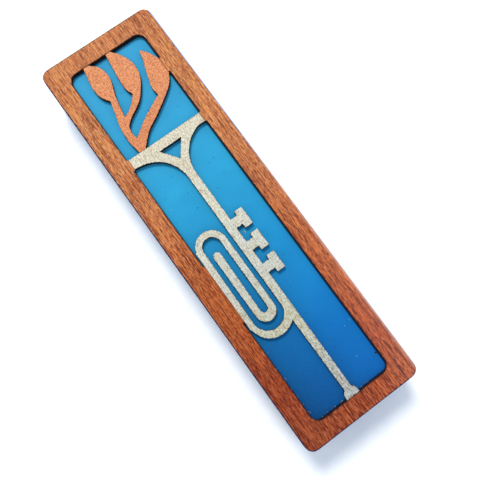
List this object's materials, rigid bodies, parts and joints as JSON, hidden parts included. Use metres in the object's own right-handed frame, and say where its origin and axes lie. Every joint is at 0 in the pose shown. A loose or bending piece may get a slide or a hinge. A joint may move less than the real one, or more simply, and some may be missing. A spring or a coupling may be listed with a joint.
{
  "type": "mezuzah case",
  "caption": "Slim wooden doorpost case with a trumpet fretwork front, a rolled parchment inside and a back cover that slides out of one end.",
  "frame": {"origin": "centre of the bounding box's bottom face, on the surface that the back of the case lies on", "axes": "+Z out of the decorated front, +Y along the case towards the shin end, +X to the right seen from the front"},
  "size_m": [0.0384, 0.1336, 0.0172],
  "materials": {
    "stained_wood": "reddish-brown stain, satin, laser-burnt edges",
    "silver_paint": "grainy pale silver-cream paint on wood",
    "copper_paint": "grainy copper paint on wood",
    "blue_panel": "matt blue paint, light at the shin end and deep at the mouthpiece end",
    "blue_body": "matt deep blue paint",
    "plain_wood": "bare sanded plywood",
    "parchment": "dry parchment",
    "clear_film": "clear film",
    "foam": "white closed-cell foam",
    "liner": "waxed paper"
  },
  "bodies": {
    "case": {"front_frame": "stained_wood", "trumpet": "silver_paint", "shin_letter": "copper_paint", "background_panel": "blue_panel", "front_spacer_layer": "blue_body", "middle_spacer_layer": "blue_body", "rear_spacer_layer": "blue_body", "cover_channel_layer": "blue_body", "rear_retaining_layer": "blue_body", "parchment_scroll": "parchment", "scroll_sleeve": "clear_film", "left_foam_tape": "foam", "right_foam_tape": "foam", "left_release_liner": "liner", "right_release_liner": "liner"},
    "cover": {"back_cover": "plain_wood"}
  },
  "joints": [
    {"name": "cover_slide", "type": "slide", "parent": "case", "child": "cover", "axis": [0, 1, 0], "range_m": [0, 0.12]}
  ]
}
